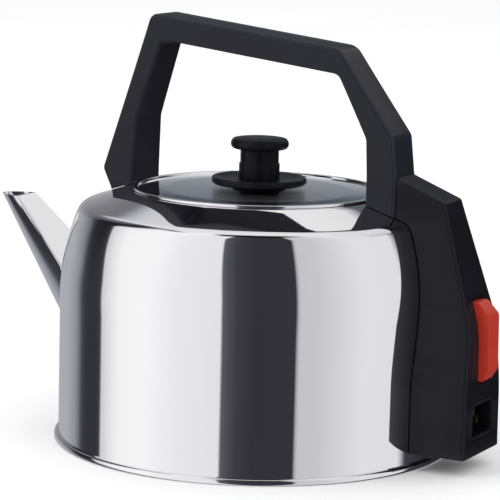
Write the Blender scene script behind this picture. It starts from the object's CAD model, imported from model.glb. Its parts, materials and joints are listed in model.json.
"""Corded electric kettle: polished vessel, lift-off lid, black handle and control housing.

Lengths below are in millimetres, in the CAD model's frame, and become metres where a mesh
is made. Outlines are (x, z) or (radius, z) pairs, and a third number rounds that corner.
"""
import json
import math
import bmesh
import bpy
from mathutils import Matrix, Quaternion, Vector


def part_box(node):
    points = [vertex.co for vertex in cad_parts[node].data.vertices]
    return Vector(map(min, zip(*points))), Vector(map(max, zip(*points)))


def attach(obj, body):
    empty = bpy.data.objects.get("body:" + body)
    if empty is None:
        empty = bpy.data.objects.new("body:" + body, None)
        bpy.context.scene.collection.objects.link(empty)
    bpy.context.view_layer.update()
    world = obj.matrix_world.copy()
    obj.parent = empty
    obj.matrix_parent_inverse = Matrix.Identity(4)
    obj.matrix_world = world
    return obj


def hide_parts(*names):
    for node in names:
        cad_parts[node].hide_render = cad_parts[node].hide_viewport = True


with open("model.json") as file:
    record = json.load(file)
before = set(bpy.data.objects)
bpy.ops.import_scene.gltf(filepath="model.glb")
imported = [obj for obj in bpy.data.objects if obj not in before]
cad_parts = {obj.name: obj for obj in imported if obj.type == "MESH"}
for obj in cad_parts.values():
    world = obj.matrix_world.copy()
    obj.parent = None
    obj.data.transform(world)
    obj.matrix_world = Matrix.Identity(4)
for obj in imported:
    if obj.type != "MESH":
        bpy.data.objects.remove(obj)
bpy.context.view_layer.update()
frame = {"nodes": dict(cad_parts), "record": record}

MM = 0.001


def span(node):
    """Lowest and highest corner of a CAD node, in millimetres."""
    low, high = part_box(node)
    return low / MM, high / MM


# ---------- driving sizes, from the frame ----------
shell_low, shell_high = span("body_shell")
BODY_R = shell_high.x
SHELL_Z = shell_low.z
SEAT_Z = shell_high.z
RIM_R = span("base_rim")[1].x
RIM_H = span("base_rim")[1].z
LID_R = span("lid")[1].x
LID_Z, LID_EDGE_Z = span("lid")[0].z, span("lid")[1].z
SKIRT_Z = span("lid_skirt")[0].z
SKIRT_R = span("lid_skirt")[1].x
SHIELD_Z, SHIELD_TOP = span("knob_heat_shield")[0].z, span("knob_heat_shield")[1].z
SHIELD_R = span("knob_heat_shield")[1].x
KNOB_TOP = span("lid_knob")[1].z
KNOB_R = span("lid_knob")[1].x
SPOUT_TIP_X = span("spout")[0].x
SPOUT_Z = span("spout")[1].z
HOUSING_Z = span("rear_housing")[0].z
HOUSING_X = span("rear_housing")[0].x
HOUSING_END = span("rear_housing")[1].x
ROCKER_LOW, ROCKER_HIGH = span("switch_rocker")
ROCKER_Z = (ROCKER_LOW.z + ROCKER_HIGH.z) / 2
INLET_LOW, INLET_HIGH = span("appliance_inlet")

# ---------- sizes that a bounding box doesn't give ----------
SHEET = 0.8
RIM_SHEET = 3.7
BARREL_Z, BARREL_ARC, BARREL_TURN = 80, 119.6, math.radians(22.6)
CORNER_R = 7
SLOPE = math.radians(18)
SEAT_R = 70
MOUTH_R = 63.6
NECK_H = 6
HEAD_HOLE_R = 14
STRAINER_R = 2.5
STRAINER_ROWS = (40, 48, 56, 64)
STRAINER_COLUMNS = (-10, 0, 10)
SCREW_HOLE_R = 2.2
SHARP = 34      # degrees between faces, over which their edge stays sharp


# ---------- mesh helpers ----------
def corner_arc(before, corner, after, radius, steps):
    """Points that round a corner of an outline."""
    b = Vector(corner)
    u = (Vector(before) - b).normalized()
    v = (Vector(after) - b).normalized()
    half = u.angle(v) / 2
    centre = b + (u + v).normalized() * (radius / math.sin(half))
    start = b + u * (radius / math.tan(half)) - centre
    end = b + v * (radius / math.tan(half)) - centre
    points = []
    for i in range(steps + 1):
        t = i / steps
        p = start.lerp(end, t).normalized() * radius
        points.append(tuple(centre + p))
    return points


def rounded(corners, steps=6):
    """A closed outline whose corners are rounded where they have a third number."""
    out = []
    for i, c in enumerate(corners):
        before, after = corners[i - 1][:2], corners[(i + 1) % len(corners)][:2]
        if len(c) > 2 and c[2] > 0:
            out += corner_arc(before, c[:2], after, c[2], steps)
        else:
            out.append(tuple(c[:2]))
    return out


def dense(outline, longest=4.0):
    """A closed outline with its long sides split, which keeps shading true beside its arcs."""
    out = []
    for here, there in zip(outline, outline[1:] + outline[:1]):
        a, b = Vector(here), Vector(there)
        parts = max(1, math.ceil((b - a).length / longest))
        out += [tuple(a.lerp(b, k / parts)) for k in range(parts)]
    return out


def new_object(name, bm, sharp=SHARP):
    """Turns a bmesh in millimetres into an object in metres, smooth but for its sharp edges."""
    bmesh.ops.remove_doubles(bm, verts=bm.verts, dist=0.002)
    bmesh.ops.dissolve_degenerate(bm, edges=bm.edges, dist=0.0005)
    bmesh.ops.recalc_face_normals(bm, faces=bm.faces)
    bmesh.ops.scale(bm, vec=(MM, MM, MM), verts=bm.verts)
    mesh = bpy.data.meshes.new(name)
    bm.to_mesh(mesh)
    bm.free()
    obj = bpy.data.objects.new(name, mesh)
    bpy.context.scene.collection.objects.link(obj)
    shade(obj, sharp)
    return obj


def shade(obj, sharp=SHARP):
    """Smooth shading, with edges over that angle left sharp."""
    bm = bmesh.new()
    bm.from_mesh(obj.data)
    for f in bm.faces:
        f.smooth = True
    for e in bm.edges:
        e.smooth = len(e.link_faces) == 2 and e.calc_face_angle(0) < math.radians(sharp)
    bm.to_mesh(obj.data)
    bm.free()


def lathe(name, outline, turns=256, sharp=SHARP):
    """A closed outline of (radius, z) points turned about the vessel's axis."""
    bm = bmesh.new()
    rings = []
    for k in range(turns):
        a = 2 * math.pi * k / turns
        rings.append([bm.verts.new((r * math.cos(a), r * math.sin(a), z)) for r, z in outline])
    for k in range(turns):
        here, there = rings[k], rings[(k + 1) % turns]
        for i in range(len(outline)):
            j = (i + 1) % len(outline)
            bm.faces.new((here[i], there[i], there[j], here[j]))
    return new_object(name, bm, sharp)


def loft(name, rings):
    """Closed rings of 3-D points skinned in order, with a cap at each end."""
    bm = bmesh.new()
    made = [[bm.verts.new(p) for p in ring] for ring in rings]
    count = len(made[0])
    for here, there in zip(made, made[1:]):
        for i in range(count):
            j = (i + 1) % count
            bm.faces.new((here[i], here[j], there[j], there[i]))
    bm.faces.new(made[0])
    bm.faces.new(made[-1])
    return new_object(name, bm)


def slab(name, outline, y0, y1):
    """An outline in x and z made into a plate between two y values."""
    return loft(name, [[(x, y, z) for x, z in outline] for y in (y0, y1)])


def box(name, low, high):
    """A square cutter between two corners."""
    x0, y0, z0 = low
    x1, y1, z1 = high
    return slab(name, [(x0, z0), (x1, z0), (x1, z1), (x0, z1)], y0, y1)


def bar(name, radius, start, end, sides=48):
    """A round cutter between two points."""
    a, b = Vector(start), Vector(end)
    along = (b - a).normalized()
    u = along.orthogonal().normalized()
    v = along.cross(u)
    rings = []
    for p in (a, b):
        ring = []
        for k in range(sides):
            t = 2 * math.pi * k / sides
            ring.append(tuple(p + u * radius * math.cos(t) + v * radius * math.sin(t)))
        rings.append(ring)
    return loft(name, rings)


def carve(obj, *cutters):
    """Cuts the cutters out of an object's mesh, and removes them."""
    for cutter in cutters:
        step = obj.modifiers.new("cut", "BOOLEAN")
        step.operation = "DIFFERENCE"
        step.solver = "EXACT"
        step.object = cutter
    graph = bpy.context.evaluated_depsgraph_get()
    mesh = bpy.data.meshes.new_from_object(obj.evaluated_get(graph))
    old = obj.data
    obj.modifiers.clear()
    obj.data = mesh
    bpy.data.meshes.remove(old)
    mesh.name = obj.name
    for cutter in cutters:
        data = cutter.data
        bpy.data.objects.remove(cutter)
        bpy.data.meshes.remove(data)
    shade(obj)
    return obj


def soften(obj, width, steps=3, angle=40):
    """Rounds an object's sharp edges."""
    step = obj.modifiers.new("edges", "BEVEL")
    step.width = width * MM
    step.segments = steps
    step.limit_method = "ANGLE"
    step.angle_limit = math.radians(angle)
    step.harden_normals = True
    return obj


def place(obj, body, slot, material, *nodes):
    """Gives a piece its body, slot and material, and hides the CAD nodes that it stands for."""
    obj.data.materials.clear()
    obj.data.materials.append(material)
    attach(obj, body)
    if nodes:
        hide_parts(*nodes)
    return obj


# ---------- materials ----------
STEEL_COLOUR = (0.905, 0.903, 0.915)
PLATED_COLOUR = (0.55, 0.56, 0.58)
SATIN_ROUGH = 0.24
SATIN_BLEND = 0.006     # metres over which the satin middle turns into the polished band


class Nodes:
    """A short way to write a material's node tree."""

    def __init__(self, name):
        self.material = bpy.data.materials.new(name)
        self.material.use_nodes = True
        self.tree = self.material.node_tree
        self.shader = self.tree.nodes["Principled BSDF"]
        self.place = self.add("ShaderNodeTexCoord").outputs["Object"]

    def add(self, kind, **values):
        """A new node, with its sockets or else its settings given by name."""
        node = self.tree.nodes.new(kind)
        for key, value in values.items():
            if key in node.inputs:
                node.inputs[key].default_value = value
            else:
                setattr(node, key, value)
        return node

    def link(self, a, b):
        self.tree.links.new(a, b)

    def noise(self, scale, detail=3.0, stretch=(1, 1, 1), roughness=0.5):
        """Noise over the piece, with scale in cycles per metre."""
        mapping = self.add("ShaderNodeMapping")
        mapping.inputs["Scale"].default_value = stretch
        self.link(self.place, mapping.inputs["Vector"])
        texture = self.add("ShaderNodeTexNoise", Scale=scale, Detail=detail, Roughness=roughness)
        self.link(mapping.outputs["Vector"], texture.inputs["Vector"])
        return texture.outputs["Fac"]

    def ramp(self, source, stops):
        """A ramp from (position, value or colour) pairs."""
        node = self.add("ShaderNodeValToRGB")
        ramp = node.color_ramp
        while len(ramp.elements) < len(stops):
            ramp.elements.new(0.5)
        for element, (position, value) in zip(ramp.elements, stops):
            element.position = position
            colour = (value, value, value) if isinstance(value, (int, float)) else value
            element.color = (*colour, 1)
        self.link(source, node.inputs["Fac"])
        return node.outputs["Color"]

    def set(self, **values):
        """Values for the shader's sockets, with _ for the spaces in their names."""
        for key, value in values.items():
            self.shader.inputs[key.replace("_", " ")].default_value = value

    def bump(self, *layers):
        """Bump from (height, strength, distance in metres) layers, the finest last."""
        below = None
        for height, strength, distance in layers:
            node = self.add("ShaderNodeBump", Strength=strength, Distance=distance)
            self.link(height, node.inputs["Height"])
            if below:
                self.link(below, node.inputs["Normal"])
            below = node.outputs["Normal"]
        self.link(below, self.shader.inputs["Normal"])

    def mix(self, factor, a, b, blend="MIX"):
        """A mix of two colours, each a tuple or a socket."""
        node = self.add("ShaderNodeMix", data_type="RGBA", blend_type=blend)
        if isinstance(factor, float):
            node.inputs["Factor"].default_value = factor
        else:
            self.link(factor, node.inputs["Factor"])
        for socket, value in ((node.inputs[6], a), (node.inputs[7], b)):
            if isinstance(value, tuple):
                socket.default_value = (*value, 1)
            else:
                self.link(value, socket)
        return node.outputs[2]


def darker(colour, factor):
    """A colour times a factor."""
    return tuple(c * factor for c in colour)


def polished_steel(name="polished_steel", gloss=0.022, satin_r=0.0):
    """Mirror-polished stainless sheet with faint buffing lines and finger smudges. Inside the
    radius satin_r, if there is one, it is satin-finished instead."""
    m = Nodes(name)
    smudge = m.noise(26, 4, roughness=0.6)
    haze = m.noise(7, 2)
    buffing = m.noise(9, 2, stretch=(1, 1, 260))
    tint = m.mix(m.ramp(haze, [(0.35, 0.0), (0.7, 1.0)]), STEEL_COLOUR,
                 darker(STEEL_COLOUR, 0.97))
    m.link(tint, m.shader.inputs["Base Color"])
    rough = m.ramp(smudge, [(0.40, gloss), (0.62, gloss * 1.4), (0.80, gloss * 2.4)])
    if satin_r:
        flat = m.add("ShaderNodeVectorMath", operation="MULTIPLY")
        flat.inputs[1].default_value = (1, 1, 0)
        m.link(m.place, flat.inputs[0])
        radius = m.add("ShaderNodeVectorMath", operation="LENGTH")
        m.link(flat.outputs[0], radius.inputs[0])
        outside = m.add("ShaderNodeMapRange", interpolation_type="SMOOTHSTEP")
        m.link(radius.outputs["Value"], outside.inputs["Value"])
        outside.inputs["From Min"].default_value = satin_r
        outside.inputs["From Max"].default_value = satin_r + SATIN_BLEND
        rough = m.mix(outside.outputs["Result"], (SATIN_ROUGH,) * 3, rough)
    m.link(rough, m.shader.inputs["Roughness"])
    m.bump((haze, 0.06, 0.0006), (buffing, 0.04, 0.00005))
    m.set(Metallic=1.0)
    return m.material


def plain_steel():
    """Plated fasteners, pins and brackets: dull, slightly stained."""
    m = Nodes("plain_steel")
    stain = m.noise(180, 5)
    m.link(m.ramp(stain, [(0.3, darker(PLATED_COLOUR, 0.7)), (0.7, PLATED_COLOUR)]),
           m.shader.inputs["Base Color"])
    m.link(m.ramp(stain, [(0.3, 0.28), (0.75, 0.48)]), m.shader.inputs["Roughness"])
    m.bump((m.noise(1500, 2), 0.2, 0.00004))
    m.set(Metallic=1.0)
    return m.material


def moulded(name, colour, rough=0.34, grain=0.25, wear=0.5, specular=0.5):
    """Moulded plastic: fine spark-eroded grain, uneven gloss, and edges rubbed slightly paler."""
    m = Nodes(name)
    cloud = m.noise(22, 4)
    fine = m.noise(2600, 2)
    scuff = m.noise(160, 6, stretch=(1, 1, 0.2), roughness=0.7)
    point = m.add("ShaderNodeNewGeometry").outputs["Pointiness"]
    edge = m.ramp(point, [(0.505, 0.0), (0.56, wear)])
    uneven = m.mix(m.ramp(cloud, [(0.3, 0.0), (0.7, 1.0)]), colour, darker(colour, 0.82))
    rubbed = tuple(min(1.0, c * 1.5 + 0.012) for c in colour)
    m.link(m.mix(edge, uneven, rubbed), m.shader.inputs["Base Color"])
    m.link(m.ramp(scuff, [(0.30, rough - 0.05), (0.62, rough), (0.80, rough + 0.12)]),
           m.shader.inputs["Roughness"])
    m.bump((cloud, 0.04, 0.0008), (fine, grain, 0.00004))
    m.set(Specular_IOR_Level=specular)
    return m.material


def brass():
    """Contacts and pins: bare brass, tarnished in patches."""
    m = Nodes("brass")
    tarnish = m.noise(240, 5)
    m.link(m.ramp(tarnish, [(0.3, (0.36, 0.24, 0.09)), (0.7, (0.74, 0.56, 0.27))]),
           m.shader.inputs["Base Color"])
    m.link(m.ramp(tarnish, [(0.3, 0.42), (0.7, 0.26)]), m.shader.inputs["Roughness"])
    m.bump((m.noise(1800, 2), 0.15, 0.00003))
    m.set(Metallic=1.0)
    return m.material


def matt(name, dark, light, rough=0.75, scale=700):
    """Rubber, ceramic or sleeving: matt, mottled and finely pitted."""
    m = Nodes(name)
    mottle = m.noise(scale / 4, 5)
    m.link(m.ramp(mottle, [(0.3, dark), (0.7, light)]), m.shader.inputs["Base Color"])
    m.link(m.ramp(mottle, [(0.3, rough - 0.08), (0.7, rough + 0.1)]),
           m.shader.inputs["Roughness"])
    m.bump((m.noise(scale * 3, 3), 0.3, 0.00005))
    return m.material


STEEL = polished_steel()
SATIN = polished_steel("satin_steel", gloss=0.06, satin_r=0.048)
PLAIN = plain_steel()
BLACK = moulded("black_plastic", (0.0142, 0.0144, 0.0215), specular=0.16)
DEEP_BLACK = moulded("dull_black_plastic", (0.0060, 0.0060, 0.0098), rough=0.38,
                     specular=0.13)
INNER = moulded("inner_plastic", (0.0045, 0.0045, 0.0062), rough=0.5, specular=0.14)
RED = moulded("red_plastic", (0.47, 0.034, 0.018), rough=0.30, grain=0.06, wear=0.12,
              specular=0.22)
BRASS = brass()
RUBBER = matt("rubber", (0.02, 0.02, 0.022), (0.045, 0.045, 0.048))
SLEEVE = matt("lead_sleeve", (0.10, 0.04, 0.02), (0.20, 0.09, 0.05), scale=1200)
CERAMIC = matt("ceramic", (0.62, 0.57, 0.48), (0.80, 0.76, 0.67), rough=0.6)


# ---------- vessel ----------
BARREL_X = BODY_R - BARREL_ARC
CORNER_X = BARREL_X + (BARREL_ARC - CORNER_R) * math.cos(BARREL_TURN)
CORNER_Z = BARREL_Z + (BARREL_ARC - CORNER_R) * math.sin(BARREL_TURN)
BARREL_STEPS, CORNER_STEPS = 30, 18


def wall_line(inset, z0):
    """Side wall and start of the shoulder, from the base up, set inwards."""
    points = [(BODY_R - inset, z0)]
    for i in range(BARREL_STEPS + 1):
        a = BARREL_TURN * i / BARREL_STEPS
        points.append((BARREL_X + (BARREL_ARC - inset) * math.cos(a),
                       BARREL_Z + (BARREL_ARC - inset) * math.sin(a)))
    for i in range(1, CORNER_STEPS + 1):
        a = BARREL_TURN + (math.pi / 2 - SLOPE - BARREL_TURN) * i / CORNER_STEPS
        points.append((CORNER_X + (CORNER_R - inset) * math.cos(a),
                       CORNER_Z + (CORNER_R - inset) * math.sin(a)))
    return points


def shoulder_z(r, inset=0.0):
    """Height of the shoulder at a radius, for a surface set inwards."""
    top = math.pi / 2 - SLOPE
    x = CORNER_X + (CORNER_R - inset) * math.cos(top)
    return CORNER_Z + (CORNER_R - inset) * math.sin(top) + (x - r) * math.tan(SLOPE)


def vessel_form(clear):
    """The vessel's outside as one solid, grown by a clearance, for cutting what fits it."""
    low, top_r = -20, 55
    top_z = shoulder_z(top_r, -clear)
    outline = [(0, low)] + wall_line(-clear, low) + [(top_r, top_z), (0, top_z)]
    return lathe("vessel_form", outline, turns=192)


def body_shell():
    """Side wall, shoulder and lid seat in one sheet, with the strainer's and the head's holes."""
    outside = wall_line(0, SHELL_Z)
    seat = [(SEAT_R + 0.8, shoulder_z(SEAT_R + 0.8)), (SEAT_R, SEAT_Z - 0.05),
            (SEAT_R - 0.8, SEAT_Z), (MOUTH_R + 0.9, SEAT_Z), (MOUTH_R + 0.25, SEAT_Z - 0.25),
            (MOUTH_R, SEAT_Z - 0.9), (MOUTH_R, SEAT_Z - NECK_H),
            (MOUTH_R + SHEET, SEAT_Z - NECK_H), (MOUTH_R + SHEET, SEAT_Z - SHEET),
            (SEAT_R, SEAT_Z - SHEET)]
    outline = dense(outside + seat + wall_line(SHEET, SHELL_Z)[::-1])
    shell = lathe("body_shell", outline)
    cutters = []
    for z in STRAINER_ROWS:
        for y in STRAINER_COLUMNS:
            cutters.append(bar("hole", STRAINER_R, (-BODY_R - 5, y, z), (-90, y, z), 32))
    head_z = (span("element_gasket")[0].z + span("element_gasket")[1].z) / 2
    cutters.append(bar("hole", HEAD_HOLE_R, (95, 0, head_z), (BODY_R + 5, 0, head_z)))
    return place(carve(shell, *cutters), "vessel", "polished_steel", STEEL, "body_shell")


def base():
    """The rolled seam the kettle stands on, and the base plate with its pressed-in middle."""
    inner = RIM_R - RIM_SHEET
    seam = rounded([(inner, 0, 1.2), (RIM_R, 0, 1.5), (RIM_R, RIM_H, 1.6),
                    (inner, RIM_H, 0.4)], 8)
    place(lathe("base_rim", seam), "vessel", "polished_steel", STEEL, "base_rim")
    low, high = span("base_plate")
    r, press = high.x, 1.4
    plate = rounded([(0.5, low.z + press), (66, low.z + press, 4), (72, low.z, 4), (r, low.z),
                     (r, high.z), (71.6, high.z, 4), (65.6, high.z + press, 4),
                     (0.5, high.z + press)], 6)
    place(lathe("base_plate", dense(plate)), "vessel", "polished_steel", STEEL, "base_plate")


# ---------- spout ----------
SPOUT_BACK_X = -150.3
SPOUT_ROOT_X = -104
SPOUT_MOUTH_W, SPOUT_ROOT_W = 20, 44
SPOUT_KEEL_Z = 24.7
SIDE_TURN = math.radians(40)
SPOUT_TOP_Z = SPOUT_Z + SPOUT_BACK_X - SPOUT_ROOT_X
SPOUT_SHEET = 1.0
SPOUT_STEPS, KEEL_STEPS, RIDGE_STEPS = 24, 24, 5


def keeled(width, depth, ridge):
    """A flat top over sides that slope in to a rounded keel, an ellipse without its first
    SIDE_TURN: (across, down) points, with the ridges beside the flat top rounded."""
    a = width / 2 / math.cos(SIDE_TURN)
    b = depth / (1 - math.sin(SIDE_TURN))
    half = []
    for i in range(KEEL_STEPS + 1):
        t = SIDE_TURN + (math.pi / 2 - SIDE_TURN) * i / KEEL_STEPS
        half.append((a * math.cos(t), b * (math.sin(t) - math.sin(SIDE_TURN))))
    corner = corner_arc((0, 0), half[0], half[1], ridge, RIDGE_STEPS)
    right = [(0, 0), (width / 4, 0)] + corner + [p for p in half if p[1] > corner[-1][1] + 0.2]
    left = [(-x, y) for x, y in right[1:-1]]
    return right + left[::-1]


def spout_ring(t, inset, ridge):
    """One ring of the spout: t is 0 at the mouth, where the section lies flat, and 1 at the
    root."""
    mouth = keeled(SPOUT_MOUTH_W - 2 * inset, SPOUT_BACK_X - SPOUT_TIP_X - 2 * inset, ridge)
    root = keeled(SPOUT_ROOT_W - 2 * inset, SPOUT_TOP_Z - SPOUT_KEEL_Z - 2.4 * inset, ridge)
    ring = []
    for (y0, d0), (y1, d1) in zip(mouth, root):
        a = Vector((SPOUT_BACK_X - inset * 1.4 - d0, y0, SPOUT_Z))
        b = Vector((SPOUT_ROOT_X, y1, SPOUT_TOP_Z - inset * 1.4 - d1))
        ring.append(tuple(a.lerp(b, t)))
    return ring


def spout():
    """The welded spout: its outside, less its inside, which runs out past both ends."""
    shares = [i / SPOUT_STEPS for i in range(SPOUT_STEPS + 1)]
    skin = loft("spout", [spout_ring(t, 0, 0.9) for t in shares])
    hollow = loft("hollow", [spout_ring(-0.02 + 1.04 * t, SPOUT_SHEET, 0.5) for t in shares])
    carve(skin, hollow, vessel_form(0.05))
    return place(skin, "vessel", "polished_steel", STEEL, "spout")


# ---------- lid and knob ----------
LID_TOP = SHIELD_Z
LID_STEPS = 24


def lid():
    """The slightly crowned lid with its raised, rounded edge, and the skirt under it."""
    crown, fall = 0.3, 0.7
    top = []
    for i in range(LID_STEPS + 1):
        r = SCREW_HOLE_R + (LID_R - 3.2 - SCREW_HOLE_R) * i / LID_STEPS
        top.append((r, LID_TOP + crown - (crown + fall) * (r / LID_R) ** 2))
    edge = rounded([(LID_R - 3.1, top[-1][1]), (LID_R - 2.5, LID_EDGE_Z, 0.5),
                    (LID_R, LID_EDGE_Z, 0.75), (LID_R, LID_Z, 0.4), (LID_R - 1.4, LID_Z)], 6)
    outline = dense(top + edge + [(SCREW_HOLE_R, LID_Z)])
    place(lathe("lid", outline, sharp=50), "lid_set", "polished_steel", SATIN, "lid")
    wall = rounded([(SKIRT_R - SHEET, SKIRT_Z, 0.3), (SKIRT_R, SKIRT_Z, 0.3), (SKIRT_R, LID_Z),
                    (SKIRT_R - SHEET, LID_Z)], 4)
    place(lathe("lid_skirt", dense(wall)), "lid_set", "polished_steel", STEEL, "lid_skirt")


def knob():
    """The heat shield on its foot, and the stepped knob over it."""
    z, top, r = SHIELD_Z, SHIELD_TOP, SHIELD_R
    stem_z = z + 5.6
    foot = z + 2.7
    shield = rounded([(SCREW_HOLE_R, z), (14.4, z, 0.2), (14.4, z + 0.6, 0.2),
                      (10.9, z + 1.0, 0.8), (10.9, foot, 0.6), (r - 1.2, foot, 1.0),
                      (r, foot + 1.2, 0.9), (r - 0.3, top, 0.9), (r - 2.6, top, 0.9),
                      (r - 5, stem_z + 0.3, 3), (12.5, stem_z, 1), (SCREW_HOLE_R, stem_z)], 8)
    place(lathe("knob_heat_shield", dense(shield, 2), 160), "lid_set", "black_plastic",
          DEEP_BLACK, "knob_heat_shield")
    bore = stem_z + 13
    step, cap = z + 14, KNOB_TOP - 6.2
    grip = rounded([(2.05, stem_z), (11.1, stem_z, 0.3), (11.1, step, 0.4),
                    (10.5, step + 0.3, 0.2), (10.5, cap, 1.2), (KNOB_R - 1, cap, 1.8),
                    (KNOB_R, cap + 1.9, 1.2), (KNOB_R, cap + 3.5, 1.2),
                    (KNOB_R - 1.2, KNOB_TOP - 0.7, 1.6), (KNOB_R - 6, KNOB_TOP - 0.1, 6),
                    (0.5, KNOB_TOP), (0.5, bore), (2.05, bore)], 8)
    place(lathe("lid_knob", dense(grip, 2), 160), "lid_set", "black_plastic", DEEP_BLACK,
          "lid_knob")


# ---------- handle ----------
BAR_W, FRONT_FOOT_W, REAR_FOOT_W = 24.6, 31.0, 26.4
TAPER_Z0, TAPER_Z1 = 140, 222
WALK_STEPS, WALK_SPREAD = 6, 1.5
EDGE_STEPS = 5


def handle_half(x, z):
    """Half the handle's width at a point of its outline."""
    foot = FRONT_FOOT_W if x < 0 else REAR_FOOT_W
    share = min(1.0, max(0.0, (z - TAPER_Z0) / (TAPER_Z1 - TAPER_Z0)))
    return (foot + (BAR_W - foot) * share) / 2


def walk(corners):
    """A line through corners, each made of the same number of points: an arc where it has a
    radius, and a short straight run where it has none."""
    out = [[corners[0][:2]]]
    for before, corner, after in zip(corners, corners[1:], corners[2:]):
        if len(corner) > 2:
            out.append(corner_arc(before[:2], corner[:2], after[:2], corner[2], WALK_STEPS))
            continue
        b = Vector(corner)
        u = (Vector(before[:2]) - b).normalized() * WALK_SPREAD
        v = (Vector(after[:2]) - b).normalized() * WALK_SPREAD
        run = [2 * i / WALK_STEPS for i in range(WALK_STEPS + 1)]
        out.append([tuple(b + u * (1 - t)) if t <= 1 else tuple(b + v * (t - 1)) for t in run])
    return out + [[corners[-1][:2]]]


def stations(outer, inner, longest=6.0):
    """Matching points of two lines, with more between them on long straight runs."""
    a = [p for corner in walk(outer) for p in corner]
    b = [p for corner in walk(inner) for p in corner]
    pairs = []
    for (p0, p1), (q0, q1) in zip(zip(a, a[1:]), zip(b, b[1:])):
        p0, p1, q0, q1 = (Vector(v) for v in (p0, p1, q0, q1))
        parts = max(1, math.ceil(max((p1 - p0).length, (q1 - q0).length) / longest))
        pairs += [(p0.lerp(p1, k / parts), q0.lerp(q1, k / parts)) for k in range(parts)]
    return pairs + [(Vector(a[-1]), Vector(b[-1]))]


def rounded_section(outer, inner, half_outer, half_inner, radius, open_radius):
    """A ring across a bar between its outer and inner line, with its four edges rounded."""
    depth = (outer - inner).length
    axis = (outer - inner) / depth
    corners = [(depth, -half_outer, radius), (depth, half_outer, radius),
               (0, half_inner, open_radius), (0, -half_inner, open_radius)]
    ring = []
    for s, y in rounded(corners, EDGE_STEPS):
        p = inner + axis * s
        ring.append((p.x, y, p.y))
    return ring


HANDLE_OUTER = [(-85.2, 120), (-85.4, 133.5, 6), (-90.8, 144.6, 4), (-81.65, 173.3),
                (-63, 231.8, 5), (51.5, 219.4, 9), (85.2, 174, 6), (87.5, 153), (87.5, 120)]
HANDLE_INNER = [(-72.1, 120), (-71.6, 133.5), (-71.3, 144.6), (-69.8, 173.3, 9),
                (-56, 217.4, 5), (52, 205.4, 6), (69.3, 172.5, 9), (70.3, 153), (70.6, 120)]
HANDLE_EDGE, HANDLE_INNER_EDGE = 2.2, 1.6


def handle():
    """Both posts and the bar in one moulding, swept round and fitted to the shoulder."""
    rings = []
    for o, i in stations(HANDLE_OUTER, HANDLE_INNER):
        rings.append(rounded_section(o, i, handle_half(*o), handle_half(*i), HANDLE_EDGE,
                                     HANDLE_INNER_EDGE))
    bow = loft("handle", rings)
    carve(bow, vessel_form(0.3))
    return place(bow, "vessel", "black_plastic", BLACK, "handle")


# ---------- rear housing ----------
HOUSING_WALL = 2.2
KNEE = (135.6, 78)
TOP_REAR = (115.6, 142.2)
TOP_FRONT = (87.95, 153.1)
POST_FOOT_Z = 109
HOUSING_HALVES = [(142, 11.5), (76, 19.0), (46, 23.5), (-50, 23.5)]     # (z, half width)
BEND_REACH, BEND_SAMPLES = 7.0, 4


def housing_half(z, inset):
    """Half the housing's width: narrow at the top, flaring to a broad straight lower end."""
    z = min(z, HOUSING_HALVES[0][0])
    for (z1, w1), (z0, w0) in zip(HOUSING_HALVES, HOUSING_HALVES[1:]):
        if z >= z0:
            t = (z - z0) / (z1 - z0)
            return w0 + (w1 - w0) * t - inset


def smooth_half(z, inset):
    """housing_half with its two bends blended over a few millimetres."""
    samples = [housing_half(z + BEND_REACH * k / BEND_SAMPLES, inset)
               for k in range(-BEND_SAMPLES, BEND_SAMPLES + 1)]
    return sum(samples) / len(samples)


def housing_loft(name, inset, edge, z_low):
    """The housing's form, its walls set inwards: rings from its underside up to its top."""
    slope = (TOP_REAR[0] - KNEE[0]) / (TOP_REAR[1] - KNEE[1])
    middle = (KNEE[0] + slope * (POST_FOOT_Z - KNEE[1]) - inset, POST_FOOT_Z)
    back = [(HOUSING_END - inset, z_low), (HOUSING_END - 0.2 - inset, 40),
            (KNEE[0] - inset, KNEE[1], 60), middle,
            (TOP_REAR[0] - inset, TOP_REAR[1] - inset, 2.2), (TOP_FRONT[0], TOP_FRONT[1] - inset)]
    front = [(70, z_low), (70, 40), (70, KNEE[1]), (HOUSING_X, POST_FOOT_Z), (HOUSING_X, 136),
             (HOUSING_X, 147 - inset)]
    rings = []
    for o, i in stations(back, front, 4.0):
        rings.append(rounded_section(o, i, smooth_half(o.y, inset), smooth_half(i.y, inset),
                                     edge, 0.4))
    return loft(name, rings)


def rear_housing():
    """The moulded housing: a shell fitted to wall and post, with its two rear openings."""
    shell = housing_loft("rear_housing", 0, 1.8, HOUSING_Z)
    hollow = housing_loft("hollow", HOUSING_WALL, 0.6, HOUSING_Z + HOUSING_WALL)
    post = box("post", (60, -40, 100), (HOUSING_X + 0.02, 40, 170))
    window = box("window", (118, ROCKER_LOW.y - 0.4, ROCKER_LOW.z - 1),
                 (150, ROCKER_HIGH.y + 0.4, ROCKER_HIGH.z + 1))
    inlet = box("inlet", (118, INLET_LOW.y - 0.2, INLET_LOW.z - 0.2),
                (150, INLET_HIGH.y + 0.2, INLET_HIGH.z + 0.2))
    carve(shell, hollow)
    carve(shell, vessel_form(0.4), post)
    carve(shell, window, inlet)
    return place(shell, "vessel", "black_plastic", DEEP_BLACK, "rear_housing")


# ---------- switch ----------
PIVOT_X = 130.5
PIVOT_BORE_R = 1.55


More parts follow.
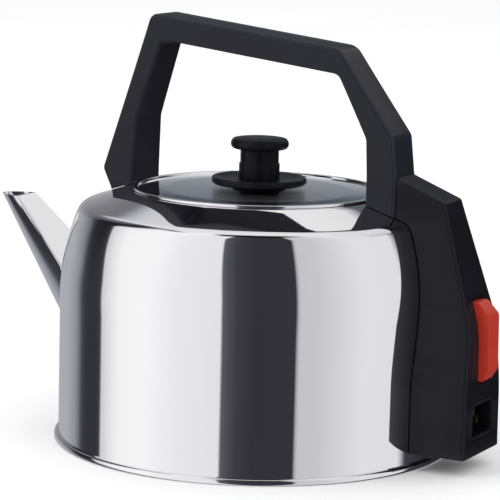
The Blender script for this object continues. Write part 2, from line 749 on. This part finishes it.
def rocker():
    """The red rocker, its tail cut free on both sides and its face's edges rounded."""
    top, low, z = ROCKER_HIGH.z, ROCKER_LOW.z, ROCKER_Z
    tail_x = ROCKER_LOW.x
    face_x = ROCKER_HIGH.x
    side = rounded([(face_x - 0.05, z - 15, 2.5), (face_x - 0.6, z + 14.2, 3.5),
                    (134.6, top, 2.5), (127.6, top, 0.5), (127.6, z + 7.5), (127, z + 4.5),
                    (tail_x, z + 1.4, 0.6), (tail_x, z - 1.4, 0.6), (123.6, z - 1.4),
                    (127, z - 4), (128.6, z - 12), (130, low, 0.5), (138.2, low, 1.2)], 6)
    body = slab("switch_rocker", side, ROCKER_LOW.y, ROCKER_HIGH.y)
    bore = bar("bore", PIVOT_BORE_R, (PIVOT_X, -20, z), (PIVOT_X, 20, z))
    left = box("slot", (110, 5, z - 5), (126.4, 20, z + 5))
    right = box("slot", (110, -20, z - 5), (126.4, -5, z + 5))
    carve(body, bore, left, right)
    soften(body, 0.9, 4, 50)
    return place(body, "rocker", "red_plastic", RED, "switch_rocker")


# ---------- CAD nodes that keep their shape ----------
FINISHES = {"polished_steel": STEEL, "plain_steel": PLAIN, "black_plastic": BLACK,
            "inner_plastic": INNER, "red_plastic": RED, "brass": BRASS, "rubber": RUBBER,
            "lead_sleeve": SLEEVE, "ceramic": CERAMIC}


def dress_cad_nodes():
    """Gives each shown CAD node its slot's finish and takes the knife edge off it."""
    for part in frame["record"]["subparts"]:
        obj = frame["nodes"][part["node"]]
        if obj.hide_render:
            continue
        obj.data.materials.clear()
        obj.data.materials.append(FINISHES[part["material_slot"]])
        soften(obj, 0.2, 2)


# ---------- stage ----------
CAMERA_AT = Vector((0.64826, -1.2311, 0.33548))
CAMERA_AIM = Vector((0.0012, -0.0109, 0.1064))
CAMERA_ROLL = math.radians(1.335)
CAMERA_LENS = 185.4


def grey(value, blue=0.0, red=0.0):
    """Linear colour for a display grey from 0 to 255, with its blue and red moved."""
    def linear(v):
        v = v / 255
        return v / 12.92 if v <= 0.04045 else ((v + 0.055) / 1.055) ** 2.4
    return (linear(value + red), linear(value), linear(value + blue))


def camera():
    """The photograph's point of view."""
    data = bpy.data.cameras.new("camera")
    data.lens = CAMERA_LENS
    data.sensor_width = 36
    data.clip_start, data.clip_end = 0.05, 100
    obj = bpy.data.objects.new("camera", data)
    bpy.context.scene.collection.objects.link(obj)
    obj.location = CAMERA_AT
    obj.rotation_mode = "QUATERNION"
    look = (CAMERA_AIM - CAMERA_AT).to_track_quat("-Z", "Y")
    obj.rotation_quaternion = look @ Quaternion((0, 0, 1), CAMERA_ROLL)
    bpy.context.scene.camera = obj


def studio_cards():
    """A shell of light and dark patches round the set, which only reflections see. Its greys
    were typed in from the photo's reflections, as measured by a helper script and traced back
    to the directions they come from, so it isn't plain studio light: report.md says more. Its
    own X axis faces the front of the set, and the ramps are in degrees round and above it."""
    bm = bmesh.new()
    bmesh.ops.create_icosphere(bm, subdivisions=4, radius=4000)
    shell = new_object("studio_cards", bm)
    shell.rotation_euler.z = math.atan2(CAMERA_AT.y, CAMERA_AT.x)
    for flag in ("visible_camera", "visible_diffuse", "visible_shadow", "visible_transmission",
                 "visible_volume_scatter"):
        setattr(shell, flag, False)
    m = Nodes("studio_cards")
    m.material.cycles.emission_sampling = "NONE"
    m.tree.nodes.remove(m.shader)
    normal = m.add("ShaderNodeVectorMath", operation="NORMALIZE")
    m.link(m.place, normal.inputs[0])
    axes = m.add("ShaderNodeSeparateXYZ")
    m.link(normal.outputs[0], axes.inputs[0])
    x, y, z = axes.outputs

    def maths(operation, a, b=None):
        node = m.add("ShaderNodeMath", operation=operation)
        for socket, value in zip(node.inputs, (a, b)):
            if value is None:
                continue
            if isinstance(value, (int, float)):
                socket.default_value = value
            else:
                m.link(value, socket)
        return node.outputs[0]

    def step_up(value, start, end):
        node = m.add("ShaderNodeMapRange", interpolation_type="SMOOTHSTEP")
        m.link(value, node.inputs["Value"])
        node.inputs["From Min"].default_value = start
        node.inputs["From Max"].default_value = end
        return node.outputs["Result"]

    def step_down(value, start, end):
        return maths("SUBTRACT", 1, step_up(value, start, end))

    def between(value, *edges):
        """A mask that rises over the first two edges and falls over the last two."""
        return maths("MULTIPLY", step_up(value, *edges[:2]), step_down(value, *edges[2:]))

    def all_of(*masks):
        whole = masks[0]
        for mask in masks[1:]:
            whole = maths("MULTIPLY", whole, mask)
        return whole

    height = maths("DEGREES", maths("ARCSINE", z))
    up = maths("DIVIDE", maths("ADD", height, 90), 180)
    turn = maths("DEGREES", maths("ARCTAN2", y, x))
    lean = maths("ADD", maths("MULTIPLY", 5.5, step_down(turn, -90, -60)),
                 maths("MULTIPLY", 4.5, step_down(turn, -145, -105)))
    lean = maths("MULTIPLY", lean, between(height, 0, 20, 26, 42))
    lean = maths("ADD", lean, maths("MULTIPLY", 3, all_of(between(turn, -60, -40, -10, -2),
                                                          step_up(height, 0, 38))))
    lean = maths("SUBTRACT", lean, maths("MULTIPLY", 5, all_of(step_down(turn, -80, -60),
                                                               step_down(height, -18, -14))))
    round_set = maths("DIVIDE", maths("ADD", maths("ADD", turn, lean), 180), 360)

    def around(stops):
        return [((degrees + 180) / 360, grey(*value)) for degrees, *value in stops]

    def above(stops):
        return [((degrees + 90) / 180, grey(*value)) for degrees, *value in stops]

    walls = m.ramp(round_set, around([
        (-180, 190, 6), (-171, 168, 6), (-141, 168, 7), (-133, 156, 8), (-127, 142, 8),
        (-123, 116, 8), (-120, 78, 8), (-117.5, 60, 7), (-113, 50, 6), (-104, 50, 6),
        (-100, 58, 5), (-98.4, 205, 3), (-92, 226), (-84, 243), (-66, 247), (-45, 234, 3),
        (-19.6, 227, 4), (-18.4, 92, 6), (-15.5, 78, 6), (-10, 60, 6), (0, 50, 6),
        (22.9, 52, 6), (24.3, 196, 4), (36, 199, 4), (64, 225, 3), (92, 222, 4), (98, 60, 6),
        (120, 40, 6), (150, 40, 6), (165, 150, 6), (180, 190, 6)]))
    dimming = m.ramp(up, [((d + 90) / 180, (v, v, v)) for d, v in (
        (-32, 0.72), (-18, 1.0), (0, 1.0), (10, 0.72), (19, 0.50), (26, 0.42))])
    near_spout = all_of(step_down(x, -0.35, -0.25), step_down(y, -0.10, 0.0))
    dimmed = m.mix(near_spout, (1, 1, 1), dimming)
    walls = m.mix(1.0, walls, dimmed, "MULTIPLY")
    behind_left = m.ramp(up, above([
        (3, 212, 3, -3), (6.5, 190, 6, -5), (9, 146, 9, -7), (12, 80, 10, -7), (22, 96, 10, -7),
        (30, 90, 8, -4), (35, 192), (39, 206), (60, 222), (75, 232)]))
    behind_right = m.ramp(up, above([
        (3, 212, 3, -3), (6.5, 194, 6, -5), (9, 152, 9, -7), (12, 78, 10, -7), (22, 92, 10, -7),
        (33, 90, 8, -4), (37, 222), (43, 229), (60, 232), (75, 232)]))
    behind = m.mix(step_up(y, -0.03, 0.03), behind_left, behind_right)
    is_behind = all_of(step_down(x, -0.55, -0.35), step_up(z, 0.02, 0.07),
                       between(y, -0.10, -0.06, 0.30, 0.42))
    whole = m.mix(is_behind, walls, behind)
    top_light = m.ramp(up, above([(26, 115, 9, -6), (30, 170, 6, -3), (36, 203, 4), (50, 218, 4),
                                  (80, 232)]))
    over = all_of(step_up(z, 0.44, 0.56), step_up(y, -0.48, -0.44), step_down(x, 0.10, 0.15),
                  maths("SUBTRACT", 1, is_behind))
    whole = m.mix(over, whole, top_light)
    open_side = all_of(between(turn, 120, 130, 152, 160), between(height, 20, 26, 38, 42))
    whole = m.mix(open_side, whole, grey(226))
    seam = all_of(step_up(z, 0.78, 0.84), between(y, -0.60, -0.54, -0.48, -0.44),
                  step_down(x, 0.05, 0.20))
    whole = m.mix(seam, whole, grey(140, 4))
    whole = m.mix(step_up(z, 0.925, 0.955), whole, grey(228))
    flag = all_of(step_up(z, 0.86, 0.90), step_up(x, 0.09, 0.26),
                  between(y, -0.32, -0.24, 0.14, 0.36))
    whole = m.mix(flag, whole, grey(16))
    light = m.add("ShaderNodeEmission", Strength=1.10)
    m.link(whole, light.inputs["Color"])
    m.link(light.outputs[0], m.tree.nodes["Material Output"].inputs["Surface"])
    shell.data.materials.append(m.material)


def floor():
    """A very pale ground, which reflections don't see."""
    bm = bmesh.new()
    bmesh.ops.create_grid(bm, x_segments=4, y_segments=4, size=9000)
    plane = new_object("floor", bm)
    plane.visible_glossy = False
    m = Nodes("floor")
    m.link(m.ramp(m.noise(3, 2), [(0.3, 0.96), (0.7, 0.98)]), m.shader.inputs["Base Color"])
    m.set(Roughness=0.9, Specular_IOR_Level=0.2)
    plane.data.materials.append(m.material)


def lights():
    """An even white surround, and three soft lamps that reflections don't see."""
    world = bpy.data.worlds.new("world")
    bpy.context.scene.world = world
    world.use_nodes = True
    world.node_tree.nodes["Background"].inputs["Color"].default_value = (1, 1, 1, 1)
    world.node_tree.nodes["Background"].inputs["Strength"].default_value = 1.0
    for name, at, size, power in (("key", (-1.3, -1.5, 2.0), 1.4, 16),
                                  ("fill", (1.7, -0.9, 1.5), 1.2, 7),
                                  ("back", (-0.3, 1.8, 2.2), 1.2, 3.5)):
        data = bpy.data.lights.new(name, "AREA")
        data.size = size
        data.energy = power
        obj = bpy.data.objects.new(name, data)
        bpy.context.scene.collection.objects.link(obj)
        obj.location = at
        obj.rotation_mode = "QUATERNION"
        obj.rotation_quaternion = (Vector((0, 0, 0.1)) - obj.location).to_track_quat("-Z", "Y")
        obj.visible_glossy = False


camera()
body_shell()
base()
spout()
lid()
knob()
handle()
rear_housing()
rocker()
dress_cad_nodes()
studio_cards()
floor()
lights()
bpy.context.scene.view_settings.view_transform = "Standard"
